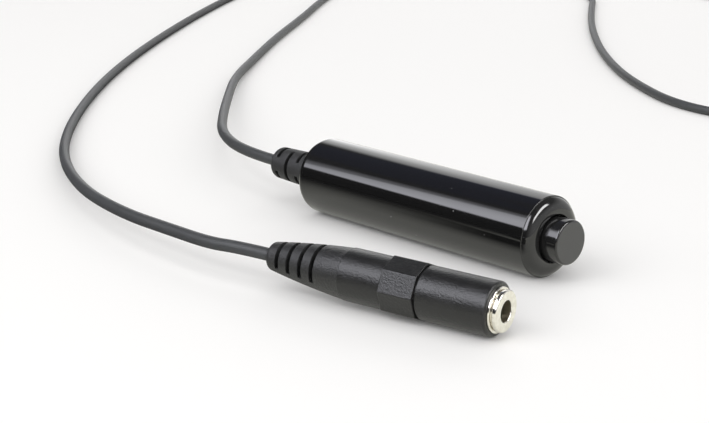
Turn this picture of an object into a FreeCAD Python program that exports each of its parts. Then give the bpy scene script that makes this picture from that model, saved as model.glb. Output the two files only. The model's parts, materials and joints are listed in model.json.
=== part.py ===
import FreeCAD, Part
import math
import os

# Wired shutter release: a push-button handle, a cord and an in-line 3.5 mm socket.
# Millimetres. +X runs from the cord to the thumb button, +Z is up, the floor is z = 0.
# The origin is on the floor, under the middle of the handle with its button and boot.

Vector = FreeCAD.Vector

# Handle tube
TUBE_D = 15.0
TUBE_LENGTH = 58.8
TUBE_WALL = 1.2
TUBE_END_WALL = 2.0
TUBE_END_ROUNDING = 1.8
TUBE_SHOULDER = 0.5
SEAM_CHAMFER = 0.15

# Bezel in the mouth of the tube
BEZEL_STEP = 0.02
BEZEL_RIM = 1.05
BEZEL_RIM_ROUNDING = 0.75
BEZEL_DISC_D = 13.1
BEZEL_DISC_STEP = 0.15
BEZEL_DOME = 0.6
BEZEL_FACE_WALL = 2.0
BEZEL_SKIRT_WALL = 0.9
BEZEL_SKIRT_LENGTH = 6.0
BEZEL_FIT = 0.05

# Thumb button
BUTTON_D = 8.2
BUTTON_REACH = 4.1
BUTTON_TRAVEL = 2.0
BUTTON_ROUNDING = 0.5
BUTTON_GAP = 0.3
BUTTON_WALL = 1.0
BUTTON_FACE_WALL = 1.5
BUTTON_COLLAR_GAP = 0.3
BUTTON_COLLAR_LENGTH = 1.0
BUTTON_REST_GAP = 0.1
BOSS_WALL = 0.7
BOSS_LENGTH = 2.5

# Plunger and moving contact
STEM_D = 1.8
STEM_FIT = 0.02
STEM_GUIDE_FIT = 0.05
TENON_D = 1.2
BRIDGE_D = 5.0
BRIDGE_THICKNESS = 0.5
BRIDGE_HEADROOM = 0.4
CLIP_D = 2.2
CLIP_THICKNESS = 0.3
TENON_END = 0.15
CONTACT_CLOSING_GAP = 0.05

# Switch housing inside the tube
SWITCH_FIT = 0.1
COVER_THICKNESS = 2.0
SPRING_PILOT_LENGTH = 0.8
CHAMBER_D = 8.0
SWITCH_END_WALL = 3.0
CONTACT_SPACING = 4.0
CONTACT_WIDTH = 0.9
CONTACT_HEIGHT = 1.2
CONTACT_PAD_D = 1.4
CONTACT_PAD_LENGTH = 0.5
CONTACT_STANDOFF = 1.5
CONTACT_TAIL = 3.5
CONTACT_FIT = 0.05

# Return spring
SPRING_WIRE_D = 0.4
SPRING_MEAN_D = 4.7
SPRING_TURNS = 8
SPRING_END_GAP = 0.05
PILOT_GAP = 0.2

# Cord, its two cores and the joints at their ends
CORD_D = 2.3
JACKET_FIT = 0.05
CORE_D = 0.9
CORE_SPACING = 1.0
SOLDER_D = 1.5
SOLDER_LENGTH = 1.6
SMALL_SOLDER_D = 1.0
SMALL_SOLDER_LENGTH = 1.2

# Boot behind the handle
BOOT_LENGTH = 12.8
BOOT_TAIL_D = 6.6
BOOT_ROOT_D = 7.3
BOOT_TAIL_ROUNDING = 0.5
BOOT_NECK_D = 5.2
BOOT_NECK_FIT = 0.05
BOOT_FLANGE_D = 7.0
BOOT_FLANGE_LENGTH = 1.2
BOOT_ROLL = 13.0
BOOT_SLOT_WIDTH = 0.9
BOOT_SLOT_FIRST = 4.65
BOOT_SLOT_PITCH = 3.05
BOOT_SLOT_ROWS = 3
BOOT_SLOT_FLOOR = 0.2
CRIMP_WALL = 0.9
CRIMP_LENGTH = 3.0
CRIMP_FIT = 0.02
JACKET_PAST_CRIMP = 3.0

# In-line socket: where the middle of its front face is, and which way it points
SOCKET_X = 48.945
SOCKET_Y = -30.95
SOCKET_YAW = 12.67
SOCKET_PITCH = 1.08
SOCKET_LIFT = 0.005

# Front shell of the socket, with an eight-sided collar
BARREL_D = 9.24
BARREL_LENGTH = 12.9
BARREL_ROUNDING = 0.45
GROOVE_D = 8.5
GROOVE_LENGTH = 0.35
COLLAR_ACROSS_CORNERS = 10.12
COLLAR_LENGTH = 6.55
COLLAR_SIDES = 8
SHELL_BORE_D = 6.7
SPIGOT_D = 7.4
SPIGOT_LENGTH = 4.0
SPIGOT_FIT = 0.05
SPIGOT_WALL = 0.7

# Rear shell of the socket
REAR_SHELL_D = 9.12
REAR_SHELL_LENGTH = 8.3
REAR_SHELL_CHAMFER = 0.15
REAR_SHELL_END_WALL = 1.5

# Boot behind the socket
SOCKET_BOOT_LENGTH = 16.2
SOCKET_BOOT_TAIL_D = 5.1
SOCKET_BOOT_ROOT_D = 8.96
SOCKET_BOOT_BULGE = 0.19
SOCKET_BOOT_TAIL_ROUNDING = 0.7
SOCKET_BOOT_NECK_D = 4.4
SOCKET_BOOT_FLANGE_D = 5.4
SOCKET_BOOT_FLANGE_LENGTH = 1.0
SOCKET_SLOT_WIDTH = 0.85
SOCKET_SLOT_FIRST = 5.6
SOCKET_SLOT_PITCH = 2.62
SOCKET_SLOT_ROWS = 4
SOCKET_SLOT_FLOOR = 0.35
SOCKET_SLOT_WEB_ANGLE = 120.0
SOCKET_CRIMP_LENGTH = 2.0
SOCKET_JACKET_PAST_CRIMP = 0.4

# Nickel bush that takes the plug
JACK_BORE_D = 3.6
JACK_BORE_CHAMFER = 0.05
BUSH_DISC_D = 7.04
BUSH_DISC_LENGTH = 0.95
BUSH_DISC_ROUNDING = 0.3
BUSH_NECK_D = 6.4
BUSH_NECK_LENGTH = 0.15
BUSH_BASE_D = 7.7
BUSH_BASE_LENGTH = 0.45
BUSH_BASE_ROUNDING = 0.15
BUSH_DEPTH = 7.2
BUSH_FIT = 0.05

# Insulator and contacts behind the bush
INSULATOR_LENGTH = 8.5
INSULATOR_BORE_STEP = 0.3
INSULATOR_END_WALL = 2.3
LEAF_HEIGHT = 2.3
LEAF_WIDTH = 1.2
LEAF_THICKNESS = 0.3
LEAF_LENGTH = 4.2
LEAF_HINGE_GAP = 0.1
LEAF_DIMPLE_R = 0.5
LEAF_DIMPLE_BITE = 0.3
LEAF_DIMPLE_FROM_TIP = 0.7
LEAF_SIDE_GAP = 0.2
LEAF_TIP_GAP = 0.3
TERMINAL_TAIL = 1.5
TERMINAL_FIT = 0.05
SLEEVE_TERMINAL_HEIGHT = 2.4

# Route of the free cord from the handle's boot to the socket's boot.
# The first and the last point are found from the boots, and so is the one beside each.
CORD_LEAD_HANDLE = 12.0
CORD_LEAD_SOCKET = 7.5
CORD_ROUTE = (
    (-69.6, 9.7, 6.58),
    (-89.8, 26.8, 5.11),
    (-111.7, 46.5, 3.42),
    (-135.9, 68.9, 1.99),
    (-158.5, 95.5, 1.26),
    (-182.5, 125.1, 1.15),
    (-206.9, 158.1, 1.15),
    (-234.1, 192.6, 1.15),
    (-259.8, 230.5, 1.15),
    (-256.7, 269.3, 1.15),
    (-224.8, 293.6, 1.15),
    (-184.9, 288.1, 1.15),
    (-151.0, 243.3, 1.15),
    (-123.6, 210.4, 1.15),
    (-94.2, 179.3, 1.15),
    (-66.2, 155.2, 1.15),
    (-35.6, 136.9, 1.15),
    (-9.0, 142.5, 1.15),
    (4.0, 163.0, 1.15),
    (1.0, 190.0, 1.15),
    (-20.0, 222.0, 1.15),
    (-53.0, 261.0, 1.15),
    (-93.0, 296.0, 1.15),
    (-142.0, 316.0, 1.15),
    (-190.0, 318.0, 1.15),
    (-237.0, 308.0, 1.15),
    (-270.0, 281.0, 1.15),
    (-284.0, 243.0, 1.15),
    (-279.0, 205.0, 1.15),
    (-260.3, 172.5, 1.15),
    (-232.7, 133.0, 1.15),
    (-203.5, 94.6, 1.15),
    (-175.4, 60.4, 1.15),
    (-147.7, 30.3, 1.15),
    (-117.5, 2.0, 1.36),
    (-89.3, -19.6, 2.16),
    (-60.5, -34.9, 3.4),
    (-36.8, -41.7, 4.43),
    (-19.4, -43.0, 5.04),
    (-8.0, -43.5, 5.32),
)

# Places along the handle, from its rear to its front
AXIS_Z = TUBE_D / 2
HANDLE_SPAN = BOOT_LENGTH + TUBE_LENGTH + BEZEL_RIM + BUTTON_REACH
X_TAIL = -HANDLE_SPAN / 2
X_REAR = X_TAIL + BOOT_LENGTH
X_SEAM = X_REAR + TUBE_LENGTH
X_BEZEL = X_SEAM + BEZEL_RIM
X_BUTTON = X_BEZEL + BUTTON_REACH
X_FACE_WALL = X_BEZEL - BEZEL_FACE_WALL
X_BUTTON_INSIDE = X_BUTTON - BUTTON_FACE_WALL
X_COVER = X_SEAM - BEZEL_SKIRT_LENGTH
X_CHAMBER_FRONT = X_COVER - COVER_THICKNESS
X_BRIDGE_FRONT = X_CHAMBER_FRONT - BRIDGE_HEADROOM
X_BRIDGE_REAR = X_BRIDGE_FRONT - BRIDGE_THICKNESS
X_CONTACT = X_BRIDGE_REAR - BUTTON_TRAVEL - CONTACT_CLOSING_GAP
X_CHAMBER_REAR = X_CONTACT - CONTACT_STANDOFF
X_SWITCH_REAR = X_CHAMBER_REAR - SWITCH_END_WALL
X_CONTACT_TAIL = X_SWITCH_REAR - CONTACT_TAIL
X_SOLDER = X_CONTACT_TAIL - SOLDER_LENGTH
X_END_WALL = X_REAR + TUBE_END_WALL
X_FLANGE = X_END_WALL + BOOT_FLANGE_LENGTH
X_CRIMP = X_FLANGE + CRIMP_LENGTH
X_JACKET_END = X_CRIMP + JACKET_PAST_CRIMP

# Radii in the handle
R_TUBE_BORE = TUBE_D / 2 - TUBE_WALL
R_BEZEL = TUBE_D / 2 - BEZEL_STEP
R_SKIRT = R_TUBE_BORE - BEZEL_FIT
R_SKIRT_BORE = R_SKIRT - BEZEL_SKIRT_WALL
R_BUTTON_COLLAR = R_SKIRT_BORE - BUTTON_COLLAR_GAP
R_SWITCH = R_TUBE_BORE - SWITCH_FIT
R_BUTTON_BORE = BUTTON_D / 2 - BUTTON_WALL
R_JACKET_BORE = CORD_D / 2 + JACKET_FIT
R_BOSS = STEM_D / 2 + STEM_FIT + BOSS_WALL
R_PILOT = SPRING_MEAN_D / 2 - SPRING_WIRE_D / 2 - PILOT_GAP

# Places along the socket, measured from its front face back towards the cord
S_GROOVE = -BARREL_LENGTH
S_COLLAR_FRONT = S_GROOVE - GROOVE_LENGTH
S_COLLAR_REAR = S_COLLAR_FRONT - COLLAR_LENGTH
S_SPIGOT = S_COLLAR_REAR + SPIGOT_LENGTH
S_REAR_SHELL = S_COLLAR_REAR - REAR_SHELL_LENGTH
S_REAR_WALL = S_REAR_SHELL + REAR_SHELL_END_WALL
S_BOOT_FLANGE = S_REAR_WALL + SOCKET_BOOT_FLANGE_LENGTH
S_CRIMP = S_BOOT_FLANGE + SOCKET_CRIMP_LENGTH
S_JACKET_END = S_CRIMP + SOCKET_JACKET_PAST_CRIMP
S_BOOT_TAIL = S_REAR_SHELL - SOCKET_BOOT_LENGTH
S_BUSH_FRONT = BUSH_BASE_LENGTH + BUSH_NECK_LENGTH + BUSH_DISC_LENGTH
S_BUSH_REAR = -BUSH_DEPTH
S_INSULATOR_REAR = S_BUSH_REAR - INSULATOR_LENGTH
S_WINDOW_REAR = S_INSULATOR_REAR + INSULATOR_END_WALL
S_LEAF_TIP = S_WINDOW_REAR + LEAF_LENGTH
S_TERMINAL = S_INSULATOR_REAR - TERMINAL_TAIL
S_SMALL_SOLDER = S_TERMINAL - SMALL_SOLDER_LENGTH
R_INSULATOR = SHELL_BORE_D / 2 - BUSH_FIT
R_COLLAR = COLLAR_ACROSS_CORNERS / 2


def rounded_wire(corners):
    """Closed wire in the plane of X and radius through (x, r, rounding) corners."""
    points = [Vector(x, 0, r) for x, r, rounding in corners]
    edges = []
    ends = []
    count = len(points)
    for i, corner in enumerate(corners):
        here = points[i]
        rounding = corner[2]
        if rounding <= 0:
            ends.append((here, here))
            continue
        back = (points[i - 1] - here).normalize()
        ahead = (points[(i + 1) % count] - here).normalize()
        half = back.getAngle(ahead) / 2
        reach = rounding / math.tan(half)
        start = here + back * reach
        end = here + ahead * reach
        bisector = (back + ahead).normalize()
        middle = here + bisector * (rounding / math.sin(half) - rounding)
        edges.append((i, Part.Arc(start, middle, end).toShape()))
        ends.append((start, end))
    ordered = []
    arcs = dict(edges)
    for i in range(count):
        if i in arcs:
            ordered.append(arcs[i])
        start = ends[i][1]
        end = ends[(i + 1) % count][0]
        if start.distanceToPoint(end) > 1e-6:
            ordered.append(Part.LineSegment(start, end).toShape())
    return Part.Wire(ordered)


def turned(corners):
    """Solid of revolution about the X axis from (x, r) or (x, r, rounding) corners."""
    full = [tuple(c) + (0,) * (3 - len(c)) for c in corners]
    face = Part.Face(rounded_wire(full))
    return face.revolve(Vector(0, 0, 0), Vector(1, 0, 0), 360)


def rod(x0, x1, d, y=0.0, z=0.0):
    """Round bar along X between two places."""
    return Part.makeCylinder(d / 2, x1 - x0, Vector(x0, y, z), Vector(1, 0, 0))


def bar(x0, x1, width, height, y=0.0, z=0.0):
    """Square bar along X, centred on y and z."""
    corner = Vector(x0, y - width / 2, z - height / 2)
    return Part.makeBox(x1 - x0, width, height, corner)


def rounded_path(points):
    """Straight runs joined by tangent arcs, with the length and the least radius."""
    pts = [Vector(*p) for p in points]
    edges = []
    at = pts[0]
    length = 0.0
    least = None
    for i in range(1, len(pts) - 1):
        back = pts[i - 1] - pts[i]
        ahead = pts[i + 1] - pts[i]
        turn = math.pi - back.getAngle(ahead)
        radius = 0.45 * min(back.Length, ahead.Length) / math.tan(turn / 2)
        reach = radius * math.tan(turn / 2)
        back.normalize()
        ahead.normalize()
        start = pts[i] + back * reach
        end = pts[i] + ahead * reach
        bisector = (back + ahead).normalize()
        middle = pts[i] + bisector * (radius / math.cos(turn / 2) - radius)
        edges.append(Part.LineSegment(at, start).toShape())
        edges.append(Part.Arc(start, middle, end).toShape())
        length += at.distanceToPoint(start) + radius * turn
        at = end
        least = radius if least is None else min(least, radius)
    edges.append(Part.LineSegment(at, pts[-1]).toShape())
    length += at.distanceToPoint(pts[-1])
    return Part.Wire(edges), length, least


def swept(path, start, heading, d):
    """Round tube of one diameter along a wire."""
    ring = Part.Wire(Part.Circle(start, heading, d / 2).toShape())
    sweep = Part.BRepOffsetAPI.MakePipeShell(path)
    sweep.add(ring)
    sweep.build()
    sweep.makeSolid()
    return sweep.shape()


def tube_along(points, d):
    """Tube along rounded runs, with its length and least radius."""
    path, length, least = rounded_path(points)
    start = Vector(*points[0])
    heading = (Vector(*points[1]) - start).normalize()
    return swept(path, start, heading, d), length, least


def biarc(p, tp, q, tq):
    """Two arcs from p to q that leave along tp and arrive along tq."""
    v = q - p
    s = tp + tq
    dot = 2 * (1 - tp.dot(tq))
    vs = v.dot(s)
    reach = (-vs + math.sqrt(vs * vs + dot * v.dot(v))) / dot
    a = p + tp * reach
    b = q - tq * reach
    joint = (a + b) * 0.5
    arcs = []
    for start, corner, end in ((p, a, joint), (joint, b, q)):
        chord = (start + end) * 0.5
        cosine = start.distanceToPoint(chord) / start.distanceToPoint(corner)
        middle = chord + (corner - chord) * (cosine / (1 + cosine))
        arcs.append(Part.Arc(start, middle, end).toShape())
    return arcs


def coil_spring(x0, x1, mean_d, wire_d, turns):
    """Open helical spring about the X axis, wound on quarter-turn biarcs."""
    first = x0 + wire_d / 2
    last = x1 - wire_d / 2
    radius = mean_d / 2
    pitch = (last - first) / turns
    steps = 4 * turns
    edges = []
    nodes = []
    for k in range(steps + 1):
        angle = math.pi / 2 * k
        place = Vector(first + pitch * k / 4, radius * math.cos(angle), radius * math.sin(angle))
        along = Vector(pitch / (2 * math.pi), -radius * math.sin(angle), radius * math.cos(angle))
        nodes.append((place, along.normalize()))
    for k in range(steps):
        edges += biarc(nodes[k][0], nodes[k][1], nodes[k + 1][0], nodes[k + 1][1])
    gap = pitch * math.cos(math.atan(pitch / (2 * math.pi * radius))) - wire_d
    return swept(Part.Wire(edges), nodes[0][0], nodes[0][1], wire_d), gap


def grooved(boot, places, width, core_r, outer_r, roll):
    """Boot with flat-bottomed slots from two opposite sides at each place."""
    for x in places:
        block = bar(x - width / 2, x + width / 2, 4 * outer_r, 4 * outer_r)
        keep = bar(x - width, x + width, 4 * outer_r + 1, 2 * core_r)
        cut = block.cut(keep)
        cut.rotate(Vector(0, 0, 0), Vector(1, 0, 0), roll)
        boot = boot.cut(cut)
    return boot


def on_handle(shape):
    """Lift a piece that is made about the X axis to the handle's axis."""
    shape.translate(Vector(0, 0, AXIS_Z))
    return shape


SOCKET_TURN = FreeCAD.Rotation(Vector(0, 0, 1), SOCKET_YAW).multiply(
    FreeCAD.Rotation(Vector(0, 1, 0), SOCKET_PITCH)
)
SOCKET_Z = (
    R_COLLAR * math.cos(math.radians(SOCKET_PITCH))
    + S_COLLAR_FRONT * math.sin(math.radians(SOCKET_PITCH))
    + SOCKET_LIFT
)
SOCKET_PLACE = FreeCAD.Placement(Vector(SOCKET_X, SOCKET_Y, SOCKET_Z), SOCKET_TURN)


def on_socket(shape):
    """Take a piece that is made about the X axis to where the socket lies."""
    return shape.transformed(SOCKET_PLACE.toMatrix())


def keep(name, shape):
    """Write one node after checking that it is one sound solid."""
    solids = shape.Solids
    if len(solids) != 1 or not shape.isValid():
        raise ValueError(name + " is not one sound solid")
    solid = solids[0]
    if solid.Volume < 0:
        solid.reverse()
    solid.exportStep("parts/" + name + ".step")
    box = solid.BoundBox
    print("%-24s %9.2f mm3  z %.2f to %.2f" % (name, solid.Volume, box.ZMin, box.ZMax))
    return solid


def handle_tube():
    """Closed tube with a rounded rear end and a moulded shoulder for the switch."""
    outer = turned((
        (X_REAR, 0),
        (X_REAR, TUBE_D / 2, TUBE_END_ROUNDING),
        (X_SEAM, TUBE_D / 2),
        (X_SEAM, 0),
    ))
    mouth = rod(X_SWITCH_REAR, X_SEAM + 1, 2 * R_TUBE_BORE)
    inner = rod(X_END_WALL, X_SWITCH_REAR + 1, 2 * (R_TUBE_BORE - TUBE_SHOULDER))
    hole = rod(X_REAR - 1, X_END_WALL + 1, BOOT_NECK_D + 2 * BOOT_NECK_FIT)
    shell = outer.cut(mouth).cut(inner).cut(hole)
    edges = [
        e for e in shell.Edges
        if abs(e.BoundBox.XMin - X_SEAM) < 1e-6
        and abs(e.BoundBox.XMax - X_SEAM) < 1e-6
        and abs(e.BoundBox.ZMax - TUBE_D / 2) < 1e-6
    ]
    return shell.makeChamfer(SEAM_CHAMFER, edges)


def front_bezel():
    """Cap ring with a rounded rim, a low domed disc and a skirt inside the tube."""
    hole = BUTTON_D / 2 + BUTTON_GAP
    return turned((
        (X_COVER, R_SKIRT_BORE),
        (X_COVER, R_SKIRT),
        (X_SEAM, R_SKIRT),
        (X_SEAM, R_BEZEL, SEAM_CHAMFER),
        (X_BEZEL, R_BEZEL, BEZEL_RIM_ROUNDING),
        (X_BEZEL, BEZEL_DISC_D / 2),
        (X_BEZEL + BEZEL_DISC_STEP, BEZEL_DISC_D / 2, 0.8 * BEZEL_DISC_STEP),
        (X_BEZEL + BEZEL_DOME, hole, SEAM_CHAMFER),
        (X_FACE_WALL, hole),
        (X_FACE_WALL, R_SKIRT_BORE),
    ))


def button_cap():
    """Hollow button with a stop collar behind the bezel and a boss for the stem."""
    collar_front = X_FACE_WALL - BUTTON_REST_GAP
    collar_rear = collar_front - BUTTON_COLLAR_LENGTH
    cap = turned((
        (collar_rear, R_BUTTON_BORE),
        (collar_rear, R_BUTTON_COLLAR),
        (collar_front, R_BUTTON_COLLAR),
        (collar_front, BUTTON_D / 2),
        (X_BUTTON, BUTTON_D / 2, BUTTON_ROUNDING),
        (X_BUTTON, 0),
        (X_BUTTON_INSIDE, 0),
        (X_BUTTON_INSIDE, R_BUTTON_BORE),
    ))
    boss = turned((
        (X_BUTTON_INSIDE - BOSS_LENGTH, STEM_D / 2 + STEM_FIT),
        (X_BUTTON_INSIDE - BOSS_LENGTH, R_BOSS),
        (X_BUTTON_INSIDE + BUTTON_FACE_WALL / 2, R_BOSS),
        (X_BUTTON_INSIDE + BUTTON_FACE_WALL / 2, 0),
        (X_BUTTON_INSIDE, 0),
        (X_BUTTON_INSIDE, STEM_D / 2 + STEM_FIT),
    ))
    return cap.fuse(boss).removeSplitter()


def plunger_stem():
    """Rod from the button to the bridge, with a thinner tenon at its rear."""
    return turned((
        (X_BRIDGE_REAR - CLIP_THICKNESS - TENON_END, 0),
        (X_BRIDGE_REAR - CLIP_THICKNESS - TENON_END, TENON_D / 2),
        (X_BRIDGE_FRONT, TENON_D / 2),
        (X_BRIDGE_FRONT, STEM_D / 2),
        (X_BUTTON_INSIDE - STEM_FIT, STEM_D / 2),
        (X_BUTTON_INSIDE - STEM_FIT, 0),
    ))


def ring(x0, x1, outer_r, inner_r):
    """Plain ring about the X axis."""
    return turned(((x0, inner_r), (x0, outer_r), (x1, outer_r), (x1, inner_r)))


def switch_cover():
    """Front wall of the switch, with the stem's guide and the spring's pilot."""
    guide = STEM_D / 2 + STEM_GUIDE_FIT
    return turned((
        (X_CHAMBER_FRONT, guide),
        (X_CHAMBER_FRONT, R_SWITCH),
        (X_COVER, R_SWITCH),
        (X_COVER, R_PILOT),
        (X_COVER + SPRING_PILOT_LENGTH, R_PILOT),
        (X_COVER + SPRING_PILOT_LENGTH, guide),
    ))


def switch_body():
    """Cup that holds the two fixed contacts in its end wall."""
    cup = turned((
        (X_SWITCH_REAR, 0),
        (X_SWITCH_REAR, R_SWITCH),
        (X_CHAMBER_FRONT, R_SWITCH),
        (X_CHAMBER_FRONT, CHAMBER_D / 2),
        (X_CHAMBER_REAR, CHAMBER_D / 2),
        (X_CHAMBER_REAR, 0),
    ))
    for side in (-1, 1):
        cup = cup.cut(bar(
            X_SWITCH_REAR - 1,
            X_CHAMBER_REAR + 1,
            CONTACT_WIDTH + 2 * CONTACT_FIT,
            CONTACT_HEIGHT + 2 * CONTACT_FIT,
            side * CONTACT_SPACING / 2,
        ))
    return cup


def fixed_contact(side):
    """Brass strip with a round contact pad on its front end."""
    y = side * CONTACT_SPACING / 2
    strip = bar(X_CONTACT_TAIL, X_CONTACT - CONTACT_PAD_LENGTH / 2, CONTACT_WIDTH, CONTACT_HEIGHT, y)
    pad = rod(X_CONTACT - CONTACT_PAD_LENGTH, X_CONTACT, CONTACT_PAD_D, y)
    return strip.fuse(pad).removeSplitter()


def handle_core(side):
    """Insulated core from the jacket's end to a contact's solder joint."""
    near = side * CORE_SPACING / 2
    far = side * CONTACT_SPACING / 2
    span = X_SOLDER - X_JACKET_END
    return tube_along((
        (X_JACKET_END, near, 0),
        (X_JACKET_END + span * 0.3, near, 0),
        (X_JACKET_END + span * 0.7, far, 0),
        (X_SOLDER, far, 0),
    ), CORE_D)[0]


def handle_boot():
    """Tapered strain relief, slotted in turn from above and from the side."""
    bore = R_JACKET_BORE
    boot = turned((
        (X_TAIL, bore),
        (X_TAIL, BOOT_TAIL_D / 2, BOOT_TAIL_ROUNDING),
        (X_REAR, BOOT_ROOT_D / 2),
        (X_REAR, BOOT_NECK_D / 2),
        (X_END_WALL, BOOT_NECK_D / 2),
        (X_END_WALL, BOOT_FLANGE_D / 2),
        (X_FLANGE, BOOT_FLANGE_D / 2),
        (X_FLANGE, bore),
    ))
    for row in range(BOOT_SLOT_ROWS):
        place = X_REAR - BOOT_SLOT_FIRST - row * BOOT_SLOT_PITCH
        roll = BOOT_ROLL + 90 * (row % 2)
        core = R_JACKET_BORE + BOOT_SLOT_FLOOR
        boot = grooved(boot, (place,), BOOT_SLOT_WIDTH, core, BOOT_ROOT_D, -roll)
    return boot


def octagon(s0, s1, corner_r):
    """Eight-sided prism about the X axis, one corner straight down."""
    points = []
    for k in range(COLLAR_SIDES + 1):
        angle = math.radians(-90 + 360.0 / COLLAR_SIDES * k)
        points.append(Vector(s0, corner_r * math.cos(angle), corner_r * math.sin(angle)))
    return Part.Face(Part.makePolygon(points)).extrude(Vector(s1 - s0, 0, 0))


def socket_front_shell():
    """Barrel, shallow groove and eight-sided collar in one moulding."""
    barrel = turned((
        (S_COLLAR_FRONT - 1, 0),
        (S_COLLAR_FRONT - 1, GROOVE_D / 2),
        (S_GROOVE, GROOVE_D / 2),
        (S_GROOVE, BARREL_D / 2),
        (0, BARREL_D / 2, BARREL_ROUNDING),
        (0, 0),
    ))
    collar = octagon(S_COLLAR_REAR, S_COLLAR_FRONT, R_COLLAR)
    shell = barrel.fuse(collar).removeSplitter()
    shell = shell.cut(rod(S_COLLAR_REAR - 1, 1, SHELL_BORE_D))
    return shell.cut(rod(S_COLLAR_REAR - 1, S_SPIGOT + SPIGOT_FIT, SPIGOT_D + 2 * SPIGOT_FIT))


def socket_rear_shell():
    """Rear barrel with a spigot inside the collar and a wall that holds the boot."""
    inside = SPIGOT_D / 2 - SPIGOT_WALL
    hole = SOCKET_BOOT_NECK_D / 2 + BOOT_NECK_FIT
    return turned((
        (S_REAR_SHELL, hole),
        (S_REAR_SHELL, REAR_SHELL_D / 2),
        (S_COLLAR_REAR - REAR_SHELL_CHAMFER, REAR_SHELL_D / 2),
        (S_COLLAR_REAR, REAR_SHELL_D / 2 - REAR_SHELL_CHAMFER),
        (S_COLLAR_REAR, SPIGOT_D / 2),
        (S_SPIGOT, SPIGOT_D / 2),
        (S_SPIGOT, inside),
        (S_REAR_WALL, inside),
        (S_REAR_WALL, hole),
    ))


def socket_boot():
    """Bulged taper with slots over its top and a web along its underside."""
    bore = R_JACKET_BORE
    tail_r = SOCKET_BOOT_TAIL_D / 2
    root_r = SOCKET_BOOT_ROOT_D / 2
    tail = Vector(S_BOOT_TAIL + SOCKET_BOOT_TAIL_ROUNDING, 0, tail_r)
    root = Vector(S_REAR_SHELL, 0, root_r)
    middle = (tail + root) * 0.5 + Vector(0, 0, SOCKET_BOOT_BULGE)
    corner = SOCKET_BOOT_TAIL_ROUNDING
    shoulder = tail - Vector(corner * (1 - math.sqrt(0.5)), 0, corner * (1 - math.sqrt(0.5)))
    nose = tail - Vector(corner, 0, corner)
    shoulder = Vector(nose.x + corner * (1 - math.sqrt(0.5)), 0, nose.z + corner * math.sqrt(0.5))
    chain = (
        Vector(S_BOOT_TAIL, 0, bore),
        nose,
        None,
        Vector(S_REAR_SHELL, 0, SOCKET_BOOT_NECK_D / 2),
        Vector(S_REAR_WALL, 0, SOCKET_BOOT_NECK_D / 2),
        Vector(S_REAR_WALL, 0, SOCKET_BOOT_FLANGE_D / 2),
        Vector(S_BOOT_FLANGE, 0, SOCKET_BOOT_FLANGE_D / 2),
        Vector(S_BOOT_FLANGE, 0, bore),
    )
    edges = [Part.LineSegment(chain[0], nose).toShape()]
    edges.append(Part.Arc(nose, shoulder, tail).toShape())
    edges.append(Part.Arc(tail, middle, root).toShape())
    edges.append(Part.LineSegment(root, chain[3]).toShape())
    for start, end in zip(chain[3:-1], chain[4:]):
        edges.append(Part.LineSegment(start, end).toShape())
    edges.append(Part.LineSegment(chain[-1], chain[0]).toShape())
    face = Part.Face(Part.Wire(edges))
    boot = face.revolve(Vector(0, 0, 0), Vector(1, 0, 0), 360)
    half_web = math.radians(SOCKET_SLOT_WEB_ANGLE / 2)
    reach = 2 * root_r
    for row in range(SOCKET_SLOT_ROWS):
        s = S_REAR_SHELL - SOCKET_SLOT_FIRST - row * SOCKET_SLOT_PITCH
        low = s - SOCKET_SLOT_WIDTH / 2
        slot = ring(low, low + SOCKET_SLOT_WIDTH, reach, bore + SOCKET_SLOT_FLOOR)
        web = Part.Face(Part.makePolygon((
            Vector(low - 1, 0, 0),
            Vector(low - 1, -2 * reach * math.sin(half_web), -2 * reach * math.cos(half_web)),
            Vector(low - 1, 2 * reach * math.sin(half_web), -2 * reach * math.cos(half_web)),
            Vector(low - 1, 0, 0),
        ))).extrude(Vector(SOCKET_SLOT_WIDTH + 2, 0, 0))
        boot = boot.cut(slot.cut(web))
    return boot


def jack_bush():
    """Turned nickel bush: base ring, neck, front disc and a threaded-in tail."""
    bore = JACK_BORE_D / 2
    return turned((
        (S_BUSH_REAR, bore),
        (S_BUSH_REAR, R_INSULATOR),
        (0, R_INSULATOR),
        (0, BUSH_BASE_D / 2),
        (BUSH_BASE_LENGTH, BUSH_BASE_D / 2, BUSH_BASE_ROUNDING),
        (BUSH_BASE_LENGTH, BUSH_NECK_D / 2),
        (BUSH_BASE_LENGTH + BUSH_NECK_LENGTH, BUSH_NECK_D / 2),
        (BUSH_BASE_LENGTH + BUSH_NECK_LENGTH, BUSH_DISC_D / 2, BUSH_DISC_ROUNDING),
        (S_BUSH_FRONT, BUSH_DISC_D / 2, BUSH_DISC_ROUNDING),
        (S_BUSH_FRONT, bore + JACK_BORE_CHAMFER),
        (S_BUSH_FRONT - JACK_BORE_CHAMFER, bore),
    ))


def jack_insulator():
    """Moulded block with the plug's bore, the leaf's window and the terminals' ways."""
    block = rod(S_INSULATOR_REAR, S_BUSH_REAR, 2 * R_INSULATOR)
    bore = JACK_BORE_D + 2 * INSULATOR_BORE_STEP
    block = block.cut(rod(S_WINDOW_REAR, S_BUSH_REAR + 1, bore))
    window_width = LEAF_WIDTH + 2 * LEAF_SIDE_GAP
    window_front = S_LEAF_TIP + LEAF_TIP_GAP
    depth = 2 * R_INSULATOR
    block = block.cut(bar(S_WINDOW_REAR, window_front, window_width, depth, 0, depth / 2))
    block = block.cut(bar(
        S_INSULATOR_REAR - 1,
        S_WINDOW_REAR + 1,
        LEAF_WIDTH + 2 * TERMINAL_FIT,
        LEAF_THICKNESS + 2 * TERMINAL_FIT,
        0,
        LEAF_HEIGHT,
    ))
    low = SLEEVE_TERMINAL_HEIGHT - LEAF_THICKNESS / 2 - TERMINAL_FIT
    return block.cut(bar(
        S_INSULATOR_REAR - 1,
        S_BUSH_REAR + 1,
        LEAF_WIDTH + 2 * TERMINAL_FIT,
        depth,
        0,
        -low - depth / 2,
    ))


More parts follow.
